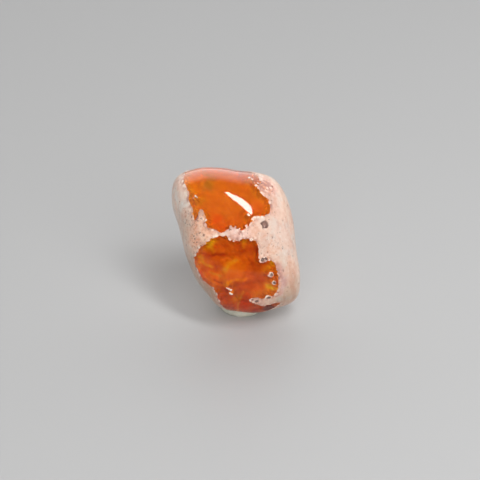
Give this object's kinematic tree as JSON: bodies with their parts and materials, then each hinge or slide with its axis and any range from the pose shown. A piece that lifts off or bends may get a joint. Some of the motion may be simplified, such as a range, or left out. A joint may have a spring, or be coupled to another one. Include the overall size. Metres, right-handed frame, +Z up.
{
  "type": "tumbled fire opal in host rock on a putty pad",
  "caption": "Tumble-polished lozenge pebble of orange fire opal in pale host rock, leaning back on a small putty pad that holds it up for display.",
  "frame": {"origin": "on the surface that the pad stands on, under the middle of the whole object's box", "axes": "+Z up; -Y to the front, the way the stone's polished face leans up to; +X to the right as seen from the front"},
  "size_m": [0.0179, 0.0156, 0.0191],
  "materials": {
    "host_rock": "polished",
    "opal": "polished, clear orange",
    "putty": "matt, soft"
  },
  "bodies": {
    "root": {"fire_opal": "host_rock", "upper_opal": "opal", "lower_opal": "opal", "putty_pad": "putty"}
  },
  "joints": []
}
